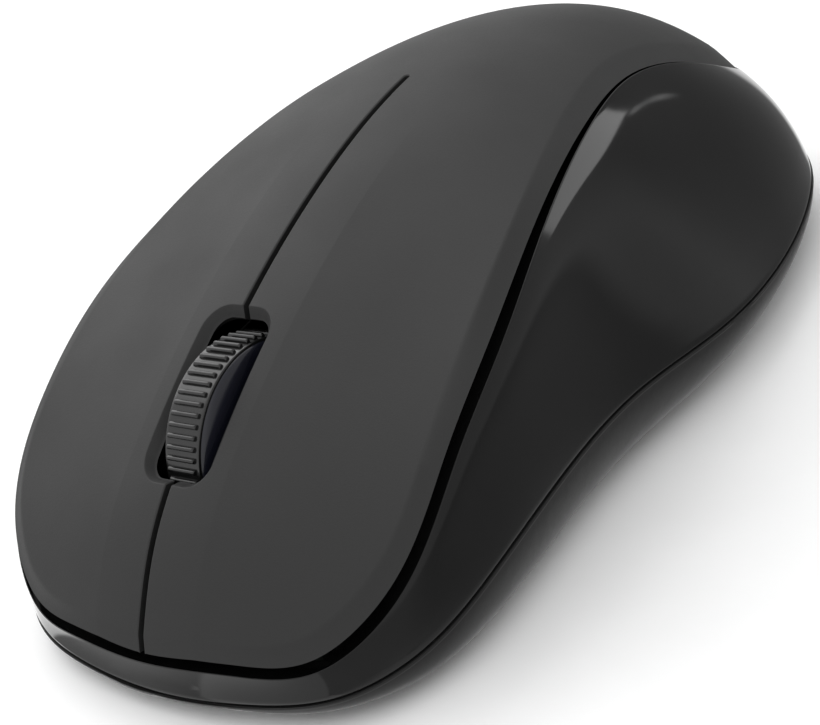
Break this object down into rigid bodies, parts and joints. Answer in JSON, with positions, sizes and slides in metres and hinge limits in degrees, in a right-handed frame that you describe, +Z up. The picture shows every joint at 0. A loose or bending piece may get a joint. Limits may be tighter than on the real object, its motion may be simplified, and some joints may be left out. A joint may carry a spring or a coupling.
{
  "type": "computer mouse",
  "caption": "Cordless optical mouse: arched cover with two click buttons, ribbed scroll wheel, gloss side frame, battery door underneath.",
  "frame": {"origin": "centre of the footprint on the desk, at the underside of the glide feet", "axes": "+Z up, buttons towards -Y, tail towards +Y, thumb side of a right hand towards +X"},
  "size_m": [0.0622, 0.1099, 0.0369],
  "materials": {
    "cover_plastic": "fine matte grain, dark grey",
    "frame_gloss": "high gloss black",
    "base_plastic": "semi-matte dark grey",
    "tyre_rubber": "satin black, ribbed",
    "hub_plastic": "satin black",
    "carrier_plastic": "natural grey moulding",
    "steel": "bright steel",
    "board_laminate": "green laminate",
    "switch_plastic": "black moulding",
    "plunger_plastic": "ivory moulding",
    "chip_plastic": "black epoxy",
    "lens_clear": "clear acrylic",
    "cell_can": "plain sleeved can",
    "foot_ptfe": "smooth dark low-friction pad",
    "can_aluminium": "bright can"
  },
  "bodies": {
    "housing": {"base_shell": "base_plastic", "side_frame": "frame_gloss", "palm_cover": "cover_plastic", "left_switch_case": "switch_plastic", "right_switch_case": "switch_plastic", "wheel_switch_case": "switch_plastic", "encoder_detector": "chip_plastic", "encoder_emitter": "lens_clear", "main_board": "board_laminate", "sensor_chip": "chip_plastic", "sensor_lens": "lens_clear", "sensor_lamp": "lens_clear", "controller_chip": "chip_plastic", "crystal_can": "can_aluminium", "smoothing_capacitor": "can_aluminium", "battery_cell": "cell_can", "battery_spring": "steel", "battery_plate": "steel", "receiver_head": "switch_plastic", "receiver_plug": "steel", "power_switch_case": "switch_plastic", "glide_feet": "foot_ptfe", "case_screws": "steel", "board_screws": "steel"},
    "left_button": {"left_button": "cover_plastic"},
    "right_button": {"right_button": "cover_plastic"},
    "left_plunger": {"left_switch_plunger": "plunger_plastic"},
    "right_plunger": {"right_switch_plunger": "plunger_plastic"},
    "carrier": {"wheel_carrier": "carrier_plastic"},
    "wheel": {"wheel_tyre": "tyre_rubber", "wheel_hub": "hub_plastic", "wheel_axle": "steel", "encoder_disc": "switch_plastic"},
    "click_plunger": {"wheel_switch_plunger": "plunger_plastic"},
    "power_slider": {"power_switch_slider": "switch_plastic"},
    "battery_door": {"battery_door": "base_plastic"}
  },
  "joints": [
    {"name": "left_button_press", "type": "hinge", "parent": "housing", "child": "left_button", "pos_m": [0, 0.0072, 0.033], "axis": [1, 0, 0], "range_deg": [0, 0.8], "stiffness_Nm_per_rad": 1.5, "springref_deg": -0.34},
    {"name": "right_button_press", "type": "hinge", "parent": "housing", "child": "right_button", "pos_m": [0, 0.0072, 0.033], "axis": [1, 0, 0], "range_deg": [0, 0.8], "stiffness_Nm_per_rad": 1.5, "springref_deg": -0.34},
    {"name": "left_switch_press", "type": "slide", "parent": "housing", "child": "left_plunger", "axis": [0, 0, -1], "range_m": [0, 0.0007]},
    {"name": "right_switch_press", "type": "slide", "parent": "housing", "child": "right_plunger", "axis": [0, 0, -1], "range_m": [0, 0.0007]},
    {"name": "wheel_click", "type": "slide", "parent": "housing", "child": "carrier", "axis": [0, 0, -1], "range_m": [0, 0.0005], "stiffness_N_per_m": 800, "springref_m": -0.0006},
    {"name": "click_switch_press", "type": "slide", "parent": "housing", "child": "click_plunger", "axis": [0, 0, -1], "range_m": [0, 0.0005]},
    {"name": "wheel_roll", "type": "hinge", "parent": "carrier", "child": "wheel", "pos_m": [0, -0.031, 0.01651], "axis": [1, 0, 0], "continuous": true},
    {"name": "power_switch_slide", "type": "slide", "parent": "housing", "child": "power_slider", "axis": [1, 0, 0], "range_m": [0, 0.0025]},
    {"name": "battery_door_open", "type": "hinge", "parent": "housing", "child": "battery_door", "pos_m": [0, -0.00345, 0.0015], "axis": [-1, 0, 0], "range_deg": [0, 70]}
  ],
  "couplings": [
    {"joint": "left_switch_press", "follows": "left_button_press", "m_per_rad": 0.0477},
    {"joint": "right_switch_press", "follows": "right_button_press", "m_per_rad": 0.0477},
    {"joint": "click_switch_press", "follows": "wheel_click", "ratio": 1}
  ]
}
